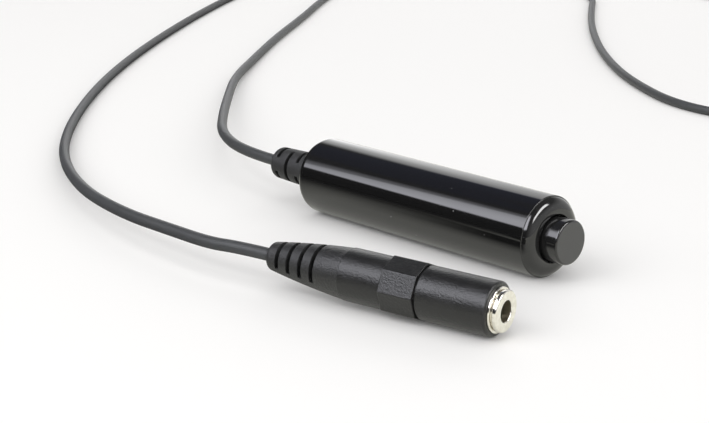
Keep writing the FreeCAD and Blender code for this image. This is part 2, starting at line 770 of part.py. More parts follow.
def tip_contact():
    """Leaf with a dimple that drops into the groove of a plug's tip."""
    start = S_WINDOW_REAR + LEAF_HINGE_GAP
    leaf = bar(start, S_LEAF_TIP, LEAF_WIDTH, LEAF_THICKNESS, 0, LEAF_HEIGHT)
    s = S_LEAF_TIP - LEAF_DIMPLE_FROM_TIP
    low = JACK_BORE_D / 2 - LEAF_DIMPLE_BITE
    dimple = Part.makeCylinder(
        LEAF_DIMPLE_R, LEAF_WIDTH, Vector(s, -LEAF_WIDTH / 2, low + LEAF_DIMPLE_R), Vector(0, 1, 0)
    )
    above = bar(s - 2, s + 2, 2 * LEAF_WIDTH, 4, 0, LEAF_HEIGHT + LEAF_THICKNESS / 2 + 2)
    return leaf.fuse(dimple.cut(above)).removeSplitter()


def jack_terminal(front, height):
    """Flat strip through the insulator to a solder joint."""
    return bar(S_TERMINAL, front, LEAF_WIDTH, LEAF_THICKNESS, 0, height)


def socket_core(height, near):
    """Insulated core from the jacket's end to a jack terminal."""
    span = S_SMALL_SOLDER - S_JACKET_END
    return tube_along((
        (S_JACKET_END, 0, near),
        (S_JACKET_END + span * 0.24, 0, near),
        (S_JACKET_END + span * 0.76, 0, height),
        (S_SMALL_SOLDER, 0, height),
    ), CORE_D)[0]


# Handle
keep("handle_tube", on_handle(handle_tube()))
keep("front_bezel", on_handle(front_bezel()))
keep("button_cap", on_handle(button_cap()))
keep("plunger_stem", on_handle(plunger_stem()))
bridge = ring(X_BRIDGE_REAR, X_BRIDGE_FRONT, BRIDGE_D / 2, TENON_D / 2 + STEM_FIT)
keep("contact_bridge", on_handle(bridge))
clip = ring(X_BRIDGE_REAR - CLIP_THICKNESS, X_BRIDGE_REAR, CLIP_D / 2, TENON_D / 2 + STEM_FIT)
keep("bridge_clip", on_handle(clip))
keep("switch_cover", on_handle(switch_cover()))
keep("switch_body", on_handle(switch_body()))
spring, spring_gap = coil_spring(
    X_COVER + SPRING_END_GAP,
    X_BUTTON_INSIDE - SPRING_END_GAP,
    SPRING_MEAN_D,
    SPRING_WIRE_D,
    SPRING_TURNS,
)
keep("return_spring", on_handle(spring))
print("spring: least gap between turns %.2f mm" % spring_gap)
for contact_name, contact_side in (("signal", 1), ("ground", -1)):
    y_contact = contact_side * CONTACT_SPACING / 2
    keep("contact_" + contact_name, on_handle(fixed_contact(contact_side)))
    keep("handle_solder_" + contact_name, on_handle(rod(X_SOLDER, X_CONTACT_TAIL, SOLDER_D, y_contact)))
    keep("handle_core_" + contact_name, on_handle(handle_core(contact_side)))
keep("handle_boot", on_handle(handle_boot()))
crimp_bore = CORD_D / 2 + CRIMP_FIT
keep("handle_crimp", on_handle(ring(X_FLANGE, X_CRIMP, crimp_bore + CRIMP_WALL, crimp_bore)))
keep("handle_cord_end", on_handle(rod(X_TAIL, X_JACKET_END, CORD_D)))

# Socket
keep("socket_front_shell", on_socket(socket_front_shell()))
keep("socket_rear_shell", on_socket(socket_rear_shell()))
keep("socket_boot", on_socket(socket_boot()))
keep("jack_bush", on_socket(jack_bush()))
keep("jack_insulator", on_socket(jack_insulator()))
keep("tip_contact", on_socket(tip_contact()))
keep("tip_terminal", on_socket(jack_terminal(S_WINDOW_REAR, LEAF_HEIGHT)))
keep("sleeve_terminal", on_socket(jack_terminal(S_BUSH_REAR, -SLEEVE_TERMINAL_HEIGHT)))
for core_name, core_height, core_near in (
    ("tip", LEAF_HEIGHT, CORE_SPACING / 2),
    ("sleeve", -SLEEVE_TERMINAL_HEIGHT, -CORE_SPACING / 2),
):
    joint = rod(S_SMALL_SOLDER, S_TERMINAL, SMALL_SOLDER_D, 0, core_height)
    keep("socket_solder_" + core_name, on_socket(joint))
    keep("socket_core_" + core_name, on_socket(socket_core(core_height, core_near)))
keep("socket_crimp", on_socket(ring(S_BOOT_FLANGE, S_CRIMP, crimp_bore + CRIMP_WALL, crimp_bore)))
keep("socket_cord_end", on_socket(rod(S_BOOT_TAIL, S_JACKET_END, CORD_D)))

# Free cord
handle_exit = Vector(X_TAIL, 0, AXIS_Z)
socket_exit = SOCKET_PLACE.multVec(Vector(S_BOOT_TAIL, 0, 0))
socket_lead = SOCKET_PLACE.multVec(Vector(S_BOOT_TAIL - CORD_LEAD_SOCKET, 0, 0))
route = [tuple(handle_exit), (X_TAIL - CORD_LEAD_HANDLE, 0, AXIS_Z)]
route += list(CORD_ROUTE)
route += [tuple(socket_lead), tuple(socket_exit)]
cord, cord_length, cord_radius = tube_along(route, CORD_D)
cord = keep("cord", cord)
section = math.pi * CORD_D ** 2 / 4
print("cord: length %.1f mm, least radius %.1f mm" % (cord_length, cord_radius))
print("cord: volume %.1f, section times length %.1f mm3" % (cord.Volume, section * cord_length))
print("cord: first points", [tuple(round(c, 2) for c in p) for p in route[:2]])
print("cord: last points", [tuple(round(c, 2) for c in p) for p in route[-2:]])
front = SOCKET_PLACE.multVec(Vector(S_BUSH_FRONT, 0, 0))
hinge = SOCKET_PLACE.multVec(Vector(S_WINDOW_REAR + LEAF_HINGE_GAP, 0, LEAF_HEIGHT))
print("socket: plug enters at", tuple(round(c, 4) for c in front))
print("socket: axis", tuple(round(c, 6) for c in SOCKET_TURN.multVec(Vector(1, 0, 0))))
print("socket: leaf turns about", tuple(round(c, 4) for c in hinge))
print("socket: leaf axis", tuple(round(c, 6) for c in SOCKET_TURN.multVec(Vector(0, 1, 0))))
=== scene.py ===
import json
import math

import bmesh
import bpy
from mathutils import Matrix, Vector


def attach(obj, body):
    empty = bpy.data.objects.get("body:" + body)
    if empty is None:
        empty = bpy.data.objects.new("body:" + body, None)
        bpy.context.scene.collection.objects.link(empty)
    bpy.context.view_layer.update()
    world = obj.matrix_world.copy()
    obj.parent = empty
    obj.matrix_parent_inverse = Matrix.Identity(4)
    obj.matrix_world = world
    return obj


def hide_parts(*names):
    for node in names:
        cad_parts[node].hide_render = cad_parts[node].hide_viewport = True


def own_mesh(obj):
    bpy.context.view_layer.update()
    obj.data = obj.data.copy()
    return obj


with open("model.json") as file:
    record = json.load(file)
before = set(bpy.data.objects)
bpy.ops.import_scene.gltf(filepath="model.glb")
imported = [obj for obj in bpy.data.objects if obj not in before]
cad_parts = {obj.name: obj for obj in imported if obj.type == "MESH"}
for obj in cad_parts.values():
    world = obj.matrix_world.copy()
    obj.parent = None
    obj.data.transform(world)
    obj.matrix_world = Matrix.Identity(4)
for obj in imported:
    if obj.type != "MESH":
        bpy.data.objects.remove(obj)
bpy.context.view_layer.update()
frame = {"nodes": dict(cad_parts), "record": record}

# Metres in a mm and degrees in a radian.
MM = 0.001
DEGREES = 180.0 / math.pi

# The camera, in degrees and mm.
VIEW_AZIMUTH = 45.952
VIEW_ELEVATION = 15.465
VIEW_ROLL = 1.123
VIEW_DISTANCE = 341.64
VIEW_TARGET = (-20.45, 4.016, 0.0)
LENS = 85.91
SENSOR_WIDTH = 36.0

# Sizes in mm, in the frame of the part: the handle lies along X, the floor is z 0.
HANDLE_AXIS_Z = 7.5
BOOT_TAIL_X = -38.375
TUBE_REAR_X = -25.575
TUBE_WALL_X = -23.575
SKIRT_REAR_X = 27.225
SEAM_X = 33.225
BUTTON_FACE_X = 38.375
TUBE_RADIUS = 7.5
BUTTON_RADIUS = 4.1
BOOT_TAIL_RADIUS = 3.22
BOOT_ROOT_RADIUS = 3.65

# The cap ring's bull nose: its arc's centre and radius, first angle and step in degrees.
NOSE_X = 32.24
NOSE_OUT = 4.86
NOSE_RADIUS = 2.64
NOSE_START = 68
NOSE_STEP = 4
RING_FACE_X = NOSE_X + NOSE_RADIUS

# Slots of the two boots, counted from the root to the tail. The handle's are cut in turn
# from above and below and from the sides. The socket's go over the top, down to a web on
# the underside, whose angle is in degrees.
HANDLE_SLOT_ROWS = 3
HANDLE_SLOT_FIRST = 4.65
HANDLE_SLOT_PITCH = 3.05
HANDLE_SLOT_WIDTH = 0.9
HANDLE_SLOT_CORE = 1.4
HANDLE_SLOT_ROLL = 8.0
SOCKET_SLOT_ROWS = 4
SOCKET_SLOT_FIRST = -33.7
SOCKET_SLOT_PITCH = 2.62
SOCKET_SLOT_WIDTH = 0.85
SOCKET_SLOT_CORE = 1.55
SOCKET_SLOT_WEB = 126.0
SLOT_REACH = 8.0

# The socket's own X runs along its axis from the mouth, 0, to its boot, below 0.
SOCKET_PLACE = (48.945, -30.95, 4.8144)
SOCKET_YAW = 12.67
SOCKET_PITCH = 1.08
BUSH_FACE_X = 1.55
BORE_RADIUS = 1.8
SOCKET_BARREL_RADIUS = 4.62
SOCKET_REAR_RADIUS = 4.56
COLLAR_REAR_X = -19.8
SLEEVE_WALL_X = -26.6
SOCKET_BOOT_ROOT_X = -28.1
SOCKET_BOOT_TAIL_X = -44.3
SOCKET_WAY = (
    math.cos(math.radians(SOCKET_YAW)) * math.cos(math.radians(SOCKET_PITCH)),
    math.sin(math.radians(SOCKET_YAW)) * math.cos(math.radians(SOCKET_PITCH)),
    -math.sin(math.radians(SOCKET_PITCH)),
)
CORD_D = 2.3
CORD_ROUTE = (
    (-38.375, 0.0, 7.5),
    (-50.375, 0.0, 7.5),
    (-69.6, 9.7, 6.58),
    (-89.8, 26.8, 5.11),
    (-111.7, 46.5, 3.42),
    (-135.9, 68.9, 1.99),
    (-158.5, 95.5, 1.26),
    (-182.5, 125.1, 1.15),
    (-206.9, 158.1, 1.15),
    (-234.1, 192.6, 1.15),
    (-259.8, 230.5, 1.15),
    (-256.7, 269.3, 1.15),
    (-224.8, 293.6, 1.15),
    (-184.9, 288.1, 1.15),
    (-151.0, 243.3, 1.15),
    (-123.6, 210.4, 1.15),
    (-94.2, 179.3, 1.15),
    (-66.2, 155.2, 1.15),
    (-35.6, 136.9, 1.15),
    (-9.0, 142.5, 1.15),
    (4.0, 163.0, 1.15),
    (1.0, 190.0, 1.15),
    (-20.0, 222.0, 1.15),
    (-53.0, 261.0, 1.15),
    (-93.0, 296.0, 1.15),
    (-142.0, 316.0, 1.15),
    (-190.0, 318.0, 1.15),
    (-237.0, 308.0, 1.15),
    (-270.0, 281.0, 1.15),
    (-284.0, 243.0, 1.15),
    (-279.0, 205.0, 1.15),
    (-260.3, 172.5, 1.15),
    (-232.7, 133.0, 1.15),
    (-203.5, 94.6, 1.15),
    (-175.4, 60.4, 1.15),
    (-147.7, 30.3, 1.15),
    (-117.5, 2.0, 1.36),
    (-89.3, -19.6, 2.16),
    (-60.5, -34.9, 3.4),
    (-36.8, -41.7, 4.43),
    (-19.4, -43.0, 5.04),
    (-8.0, -43.5, 5.32),
    (-1.585, -42.31, 5.791),
    (5.731, -40.665, 5.649),
)


# Camera


def set_camera():
    """Camera at the photograph's angle: a low three-quarter view of the button end."""
    azimuth = math.radians(VIEW_AZIMUTH)
    elevation = math.radians(VIEW_ELEVATION)
    roll = math.radians(VIEW_ROLL)
    back = Vector((
        math.sin(azimuth) * math.cos(elevation),
        -math.cos(azimuth) * math.cos(elevation),
        math.sin(elevation),
    ))
    level = Vector((0, 0, 1)).cross(back).normalized()
    upright = back.cross(level)
    right = level * math.cos(roll) + upright * math.sin(roll)
    top = upright * math.cos(roll) - level * math.sin(roll)
    lens = bpy.data.cameras.new("camera")
    lens.lens = LENS
    lens.sensor_width = SENSOR_WIDTH
    lens.clip_start = 0.01
    lens.clip_end = 100.0
    camera = bpy.data.objects.new("camera", lens)
    bpy.context.scene.collection.objects.link(camera)
    turn = Matrix((right, top, back)).transposed().to_4x4()
    place = Vector(VIEW_TARGET) + back * VIEW_DISTANCE
    camera.matrix_world = Matrix.Translation(place * MM) @ turn
    bpy.context.scene.camera = camera


# Cord


def lay_cord():
    """The one thin cord, from the handle's boot to the socket's boot."""
    line = bpy.data.curves.new("release_cord", "CURVE")
    line.dimensions = "3D"
    spline = line.splines.new("NURBS")
    spline.points.add(len(CORD_ROUTE) - 1)
    for point, place in zip(spline.points, CORD_ROUTE):
        point.co = (place[0] * MM, place[1] * MM, place[2] * MM, 1.0)
    spline.order_u = 3
    spline.use_endpoint_u = True
    line.resolution_u = 14
    line.bevel_depth = CORD_D / 2 * MM
    line.bevel_resolution = 6
    line.use_fill_caps = True
    cord = bpy.data.objects.new("release_cord", line)
    bpy.context.scene.collection.objects.link(cord)
    return cord


set_camera()
release_cord = lay_cord()


# Shader helpers


class Tone:
    """A socket of a finish, for arithmetic on the values that it carries."""

    def __init__(self, finish, socket):
        self.finish = finish
        self.socket = socket

    def math(self, operation, *values):
        sockets = {place: value for place, value in enumerate(values)}
        return self.finish.node("Math", {"operation": operation}, sockets)

    def __add__(self, other):
        return self.math("ADD", self, other)

    def __radd__(self, other):
        return self.math("ADD", other, self)

    def __sub__(self, other):
        return self.math("SUBTRACT", self, other)

    def __rsub__(self, other):
        return self.math("SUBTRACT", other, self)

    def __mul__(self, other):
        return self.math("MULTIPLY", self, other)

    def __rmul__(self, other):
        return self.math("MULTIPLY", other, self)

    def smaller_than(self, other):
        return self.math("LESS_THAN", self, other)

    def magnitude(self):
        return self.math("ABSOLUTE", self)


class Finish:
    """A material, or the world, that is put together from nodes."""

    def __init__(self, name, owner=None):
        self.material = owner or bpy.data.materials.new(name)
        self.material.use_nodes = True
        self.tree = self.material.node_tree
        self.tree.nodes.clear()

    def node(self, kind, settings=None, sockets=None, out=0):
        """Adds a node with its settings, then feeds its sockets with values or tones."""
        made = self.tree.nodes.new("ShaderNode" + kind)
        for setting, value in (settings or {}).items():
            setattr(made, setting, value)
        for socket, value in (sockets or {}).items():
            if isinstance(value, Tone):
                self.tree.links.new(value.socket, made.inputs[socket])
            else:
                made.inputs[socket].default_value = value
        return Tone(self, made.outputs[out]) if len(made.outputs) else None

    def place(self):
        return self.node("TexCoord", out="Object")

    def along(self, axis):
        """One coordinate of the point on the piece, in mm."""
        return self.node("SeparateXYZ", {}, {0: self.place()}, out=axis) * 1000.0

    def from_axis(self, centre, way):
        """The point's distance along an axis from a centre, and out from the axis, in mm."""
        start = [value * MM for value in centre]
        arm = self.vector("SUBTRACT", "Vector", self.place(), start)
        along = self.vector("DOT_PRODUCT", "Value", arm, way)
        across = self.vector("CROSS_PRODUCT", "Vector", arm, way)
        out = self.vector("LENGTH", "Value", across)
        return along * 1000.0, out * 1000.0

    def vector(self, operation, out, *values):
        sockets = {place: value for place, value in enumerate(values)}
        return self.node("VectorMath", {"operation": operation}, sockets, out=out)

    def noise(self, scale, detail=3.0, roughness=0.5):
        """Noise with a number of waves per metre, as a value from 0 to 1."""
        sockets = {
            "Vector": self.place(),
            "Scale": scale,
            "Detail": detail,
            "Roughness": roughness,
        }
        return self.node("TexNoise", {}, sockets)

    def specks(self, scale, radius):
        """1 inside small separate dots, 0 between them."""
        sockets = {"Vector": self.place(), "Scale": scale}
        return self.node("TexVoronoi", {}, sockets).smaller_than(radius)

    def span(self, value, low, high, start=0.0, end=1.0):
        """The value's way from low to high, taken from start to end and held there."""
        sockets = {0: value, 1: low, 2: high, 3: start, 4: end}
        return self.node("MapRange", {"clamp": True}, sockets)

    def blend(self, share, first, second):
        sockets = {0: share, 6: first, 7: second}
        return self.node("Mix", {"data_type": "RGBA"}, sockets, out=2)

    def bump(self, height, depth, strength=1.0):
        """Relief of a depth in mm."""
        sockets = {"Strength": strength, "Distance": depth * MM, "Height": height}
        return self.node("Bump", {}, sockets)

    def surface(self, **sockets):
        """Ends the material in a Principled shader with these sockets."""
        named = {name.replace("_", " "): value for name, value in sockets.items()}
        shader = self.node("BsdfPrincipled", {}, named)
        self.node("OutputMaterial", {}, {"Surface": shader})
        return self.material


def shade(level, warm=0.0):
    """A neutral colour of a linear level, a little warmer or cooler."""
    return (level * (1 + warm), level, level * (1 - warm), 1.0)


# Finishes


def gloss_black():
    """Polished black moulding with faint haze, a few dust specks and shallow waves."""
    finish = Finish("gloss_black")
    haze = finish.noise(90.0, 4.0, 0.6)
    dust = finish.specks(520.0, 0.055) * finish.span(finish.noise(60.0), 0.56, 0.6)
    waves = finish.noise(170.0, 1.0)
    return finish.surface(
        Base_Color=finish.blend(dust, shade(0.006), shade(0.25)),
        Roughness=finish.span(haze, 0.35, 0.75, 0.055, 0.11) + dust * 0.4,
        IOR=1.56,
        Normal=finish.bump(waves, 0.004),
    )


def ring_black():
    """The cap ring: polished rim, its face a shade more matt."""
    finish = Finish("ring_black")
    face = finish.span(finish.along("X"), RING_FACE_X - 0.58, RING_FACE_X - 0.18)
    haze = finish.noise(400.0, 3.0)
    return finish.surface(
        Base_Color=finish.blend(face, shade(0.008), shade(0.012)),
        Roughness=finish.span(face, 0.0, 1.0, 0.07, 0.12) + haze * 0.04,
        IOR=1.56,
        Normal=finish.bump(finish.noise(2500.0, 2.0), 0.0006),
    )


def button_black():
    """The thumb button: glossy side, satin face with a fine grain."""
    finish = Finish("button_black")
    face = finish.span(finish.along("X"), BUTTON_FACE_X - 0.095, BUTTON_FACE_X - 0.015)
    grain = finish.noise(9000.0, 2.0)
    height = finish.noise(200.0, 1.0) * (1 - face) + grain * face
    return finish.surface(
        Base_Color=finish.blend(face, shade(0.01), shade(0.04)),
        Roughness=finish.span(face, 0.0, 1.0, 0.09, 0.38) + grain * 0.06,
        IOR=1.54,
        Normal=finish.bump(height, 0.003),
    )


def handle_rubber():
    """Matt moulded rubber with a fine grain and faint scuffs, and painted shade that turns it
    black inside its slots.
    """
    finish = Finish("boot_rubber")
    grain = finish.noise(3500.0, 3.0, 0.6)
    scuff = finish.span(finish.noise(260.0, 5.0, 0.65), 0.5, 0.75)
    inward = finish.from_axis((0.0, 0.0, HANDLE_AXIS_Z), (1.0, 0.0, 0.0))[1]
    # Painted shade: the rubber turns black inside the slots.
    depth = finish.span(inward, BOOT_TAIL_RADIUS - 0.27, BOOT_TAIL_RADIUS - 0.04, 1.0, 0.0)
    skin = finish.blend(scuff, shade(0.011), shade(0.024))
    return finish.surface(
        Base_Color=finish.blend(depth, skin, shade(0.002)),
        Roughness=0.55 + grain * 0.12,
        IOR=1.5,
        Normal=finish.bump(grain, 0.012, 0.7),
    )


def socket_rubber():
    """Grained rubber, a little glossier towards the socket, and painted shade that turns it black
    inside its slots.
    """
    finish = Finish("socket_rubber")
    grain = finish.noise(4200.0, 2.0, 0.7)
    pits = finish.noise(2700.0, 1.0, 0.5)
    scuff = finish.span(finish.noise(260.0, 5.0, 0.65), 0.5, 0.75)
    along, inward = finish.from_axis(SOCKET_PLACE, SOCKET_WAY)
    ribs = finish.span(along, -42.7, -42.5) * finish.span(along, -33.2, -33.0, 1.0, 0.0)
    # This level follows the boot's taper, and its skin lies at about 8.5.
    level = inward - along * 0.136
    # Painted shade: the rubber turns black inside the slots.
    depth = ribs * finish.span(level, 8.05, 8.35, 1.0, 0.0)
    skin = finish.blend(scuff, shade(0.009), shade(0.018))
    return finish.surface(
        Base_Color=finish.blend(depth, skin, shade(0.001)),
        Roughness=finish.span(along, -35.0, -30.0, 0.48, 0.36) + grain * 0.1 + depth * 0.4,
        IOR=1.5,
        Normal=finish.bump(grain + pits * 1.6, 0.05),
    )


def satin_black():
    """Fine spark-eroded mould texture on the socket's hard shells."""
    finish = Finish("satin_black")
    grain = finish.noise(4600.0, 2.0, 0.7)
    pits = finish.noise(2700.0, 1.0, 0.5)
    patch = finish.noise(300.0, 4.0, 0.6)
    return finish.surface(
        Base_Color=finish.blend(patch, shade(0.008), shade(0.013)),
        Roughness=0.25 + patch * 0.14,
        IOR=1.45,
        Normal=finish.bump(grain + pits * 1.2, 0.04),
    )


def cord_jacket():
    """Matt grey-black jacket with a fine grain and slight handling marks."""
    finish = Finish("cord_jacket")
    marks = finish.noise(420.0, 4.0, 0.6)
    grain = finish.noise(3000.0, 2.0)
    return finish.surface(
        Base_Color=finish.blend(marks, shade(0.032, -0.04), shade(0.048, -0.04)),
        Roughness=0.5 + grain * 0.12,
        IOR=1.48,
        Normal=finish.bump(grain, 0.006, 0.6),
    )


def nickel():
    """Bright turned nickel plate, a little stained, and dull grey-brown in the bore."""
    finish = Finish("nickel")
    waves = finish.noise(900.0, 2.0)
    stain = finish.noise(1400.0, 4.0, 0.65)
    stained = finish.span(stain, 0.3, 0.7)
    plate = finish.blend(stained, (0.83, 0.81, 0.76, 1.0), (0.66, 0.63, 0.56, 1.0))
    along, out = finish.from_axis(SOCKET_PLACE, SOCKET_WAY)
    bore = finish.span(out, BORE_RADIUS + 0.02, BORE_RADIUS + 0.06, 1.0, 0.0)
    bore = bore * finish.span(along, BUSH_FACE_X - 0.27, BUSH_FACE_X - 0.19, 1.0, 0.0)
    return finish.surface(
        Base_Color=finish.blend(bore, plate, (0.3, 0.27, 0.2, 1.0)),
        Metallic=1.0,
        Roughness=finish.span(stain, 0.3, 0.8, 0.08, 0.2) + bore * 0.4,
        Normal=finish.bump(waves, 0.002),
    )


def plain_metal(name, bright, dull, rough):
    """Metal of an inner part, a little tarnished in places."""
    finish = Finish(name)
    stain = finish.noise(1500.0, 4.0, 0.65)
    return finish.surface(
        Base_Color=finish.blend(finish.span(stain, 0.35, 0.75), bright, dull),
        Metallic=1.0,
        Roughness=rough + stain * 0.15,
        Normal=finish.bump(finish.noise(4000.0, 2.0), 0.003, 0.6),
    )


def plain_plastic(name, first, second, rough):
    """Moulded plastic of an inner part, with a faint mottle and grain."""
    finish = Finish(name)
    mottle = finish.noise(900.0, 4.0, 0.6)
    grain = finish.noise(5000.0, 2.0)
    return finish.surface(
        Base_Color=finish.blend(mottle, first, second),
        Roughness=rough + mottle * 0.1,
        Normal=finish.bump(grain, 0.005, 0.6),
    )


BRIGHT_BRASS = (0.8, 0.6, 0.26, 1.0)
DULL_BRASS = (0.55, 0.38, 0.15, 1.0)
RED = (0.45, 0.02, 0.02, 1.0)
LIGHT_RED = (0.55, 0.04, 0.03, 1.0)
FINISHES = {
    "gloss_black": gloss_black(),
    "ring_black": ring_black(),
    "button_black": button_black(),
    "boot_rubber": handle_rubber(),
    "socket_rubber": socket_rubber(),
    "satin_black": satin_black(),
    "cord_jacket": cord_jacket(),
    "nickel": nickel(),
    "insulator_black": plain_plastic("insulator_black", shade(0.02), shade(0.035), 0.5),
    "switch_grey": plain_plastic("switch_grey", shade(0.1), shade(0.13), 0.5),
    "contact_brass": plain_metal("contact_brass", BRIGHT_BRASS, DULL_BRASS, 0.25),
    "steel": plain_metal("steel", shade(0.62), shade(0.45, 0.03), 0.28),
    "spring_steel": plain_metal("spring_steel", shade(0.5, -0.02), shade(0.38), 0.3),
    "solder": plain_metal("solder", shade(0.66), shade(0.5), 0.35),
    "core_red": plain_plastic("core_red", RED, LIGHT_RED, 0.4),
    "core_white": plain_plastic("core_white", shade(0.72, 0.01), shade(0.8, 0.02), 0.4),
}


# Modelling helpers

# How close two points merge, and how close a point lies to its ring, in mm.
MERGE = 0.0005
NEAR = 0.002


def drop_selection():
    if bpy.context.mode != "OBJECT":
        bpy.ops.object.mode_set(mode="OBJECT")
    bpy.ops.object.select_all(action="DESELECT")


def take(piece):
    """Makes a piece the only selected and active one."""
    drop_selection()
    piece.select_set(True)
    bpy.context.view_layer.objects.active = piece


def fix_place(piece):
    """Leaves a piece's place, turn and scale in its mesh."""
    take(piece)
    bpy.ops.object.transform_apply(location=True, rotation=True, scale=True)


def settle(piece, turn=(0.0, 0.0, 0.0), place=(0.0, 0.0, 0.0)):
    """Turns and moves a piece, in degrees and mm, and leaves that in its mesh."""
    piece.rotation_euler = [math.radians(angle) for angle in turn]
    piece.location = Vector(place) * MM
    fix_place(piece)


def pick_edges(piece, test):
    """Selects the edges that pass a test on their two ends, in edit mode."""
    bpy.ops.mesh.select_mode(type="EDGE")
    bpy.ops.mesh.select_all(action="DESELECT")
    shape = bmesh.from_edit_mesh(piece.data)
    for edge in shape.edges:
        edge.select_set(all(test(vert.co / MM) for vert in edge.verts))
    bmesh.update_edit_mesh(piece.data)


def round_edges(piece, test, width, steps):
    """Rounds the edges that pass a test, in edit mode."""
    pick_edges(piece, test)
    bpy.ops.mesh.bevel(
        offset=width * MM,
        offset_type="OFFSET",
        segments=steps,
        affect="EDGES",
        clamp_overlap=False,
    )


def on_ring(x, radius):
    """Test for points on one ring about the X axis."""
    return lambda point: (
        abs(point.x - x) < NEAR and abs(math.hypot(point.y, point.z) - radius) < NEAR
    )


def turned(name, stations, sides=96, hollow=True):
    """Piece turned about the X axis through (x, radius, rounding) stations.

    A hollow one comes back to its first station, any other is capped at both ends.
    """
    drop_selection()
    first_x, first_radius = stations[0][:2]
    bpy.ops.mesh.primitive_circle_add(
        vertices=sides,
        radius=first_radius * MM,
        fill_type="NOTHING",
        location=(first_x * MM, 0, 0),
        rotation=(0, math.pi / 2, 0),
    )
    piece = bpy.context.object
    piece.name = name
    piece.data.name = name
    bpy.ops.object.transform_apply(location=True, rotation=True, scale=True)
    bpy.ops.object.mode_set(mode="EDIT")
    bpy.ops.mesh.select_all(action="SELECT")
    way = list(stations[1:]) + ([stations[0]] if hollow else [])
    x, radius = first_x, first_radius
    for station in way:
        step = (station[0] - x) * MM
        swell = station[1] / radius
        bpy.ops.mesh.extrude_edges_move(TRANSFORM_OT_translate={"value": (step, 0, 0)})
        bpy.ops.transform.resize(value=(1, swell, swell), center_override=(0, 0, 0))
        x, radius = station[:2]
    bpy.ops.mesh.select_all(action="SELECT")
    bpy.ops.mesh.remove_doubles(threshold=MERGE * MM)
    if not hollow:
        bpy.ops.mesh.fill_holes(sides=0)
    bpy.ops.mesh.select_all(action="SELECT")
    bpy.ops.mesh.normals_make_consistent(inside=False)
    for station in stations:
        if len(station) > 2:
            steps = 8 if station[2] > 0.5 else 5 if station[2] > 0.2 else 3
            round_edges(piece, on_ring(*station[:2]), station[2], steps)
    bpy.ops.object.mode_set(mode="OBJECT")
    return piece


def carve(piece, tool, operation="DIFFERENCE"):
    """Cuts a tool out of a piece, or joins it on, and clears the tool away."""
    change = piece.modifiers.new("carve", "BOOLEAN")
    change.operation = operation
    change.solver = "EXACT"
    change.object = tool
    take(piece)
    bpy.ops.object.modifier_apply(modifier="carve")
    bpy.data.objects.remove(tool)


def soften(piece, width, steps=2, angle=35.0):
    """Rounds all sharp edges of a piece by a small width."""
    edge = piece.modifiers.new("soft_edges", "BEVEL")
    edge.width = width * MM
    edge.segments = steps
    edge.limit_method = "ANGLE"
    edge.angle_limit = math.radians(angle)
    edge.miter_outer = "MITER_ARC"
    take(piece)
    bpy.ops.object.modifier_apply(modifier="soft_edges")


def smooth(piece, angle=32.0):
    """Smooth shading that keeps flat faces flat beside their rounded edges."""
    take(piece)
    bpy.ops.object.shade_smooth_by_angle(angle=math.radians(angle))
    weigh = piece.modifiers.new("even_normals", "WEIGHTED_NORMAL")
    weigh.keep_sharp = True
    weigh.weight = 50
    bpy.ops.object.modifier_apply(modifier="even_normals")


def dress(piece, node, body, finish):
    """Gives a piece its finish and body, and hides the node that it stands for."""
    piece.data.materials.clear()
    piece.data.materials.append(FINISHES[finish])
    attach(piece, body)
    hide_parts(node)


def on_handle(piece):
    """Lifts a piece onto the handle's axis."""
    settle(piece, place=(0.0, 0.0, HANDLE_AXIS_Z))
    smooth(piece)


def on_socket(piece):
    """Turns and moves a piece onto the socket's axis."""
    settle(piece, turn=(0.0, SOCKET_PITCH, 0.0))
    settle(piece, turn=(0.0, 0.0, SOCKET_YAW), place=SOCKET_PLACE)
    smooth(piece)


# Handle


def grip_tube():
    """Gloss tube: a rounded rear end with a wall for the boot, and a stepped bore."""
    return turned("grip_tube", (
        (TUBE_REAR_X, 2.65),
        (TUBE_REAR_X, TUBE_RADIUS, 1.8),
        (SEAM_X, TUBE_RADIUS, 0.15),
        (SEAM_X, 6.3),
        (17.775, 6.3),
        (17.775, 5.8),
        (TUBE_WALL_X, 5.8),
        (TUBE_WALL_X, 2.65),
    ), sides=128)


def grip_ring():
    """Cap ring at the thumb end: a broad bull nose, and a skirt inside the tube."""
    nose = []
    for angle in range(NOSE_START, -1, -NOSE_STEP):
        tilt = math.radians(angle)
        x = NOSE_X + NOSE_RADIUS * math.cos(tilt)
        nose.append((x, NOSE_OUT + NOSE_RADIUS * math.sin(tilt)))
    return turned("grip_ring", (
        (SKIRT_REAR_X, 5.35),
        (SKIRT_REAR_X, 6.25, 0.1),
        (SEAM_X, 6.25),
        *nose,
        (RING_FACE_X, 4.4, 0.15),
        (32.275, 4.4),
        (32.275, 5.35),
    ), sides=128)


def thumb_button():
    """Hollow button with a stop collar behind the ring and a boss for its stem."""
    return turned("thumb_button", (
        (BUTTON_FACE_X, BUTTON_RADIUS, 0.5),
        (32.175, BUTTON_RADIUS),
        (32.175, 5.05, 0.1),
        (31.175, 5.05, 0.1),
        (31.175, 3.1),
        (36.875, 3.1),
        (36.875, 1.62),
        (34.375, 1.62),
        (34.375, 0.92),
        (36.875, 0.92),
    ), sides=96, hollow=False)


def flat_slot(place, width, core, roll):
    """Two blocks that leave a flat web between them, turned about the X axis."""
    breadth = 14.0
    height = 10.0
    tools = []
    for side in (1, -1):
        drop_selection()
        middle = side * (core + height / 2)
        bpy.ops.mesh.primitive_cube_add(size=MM, location=(place * MM, 0, middle * MM))
        tool = bpy.context.object
        tool.scale = (width, breadth, height)
        fix_place(tool)
        settle(tool, turn=(roll, 0.0, 0.0))
        tools.append(tool)
    return tools


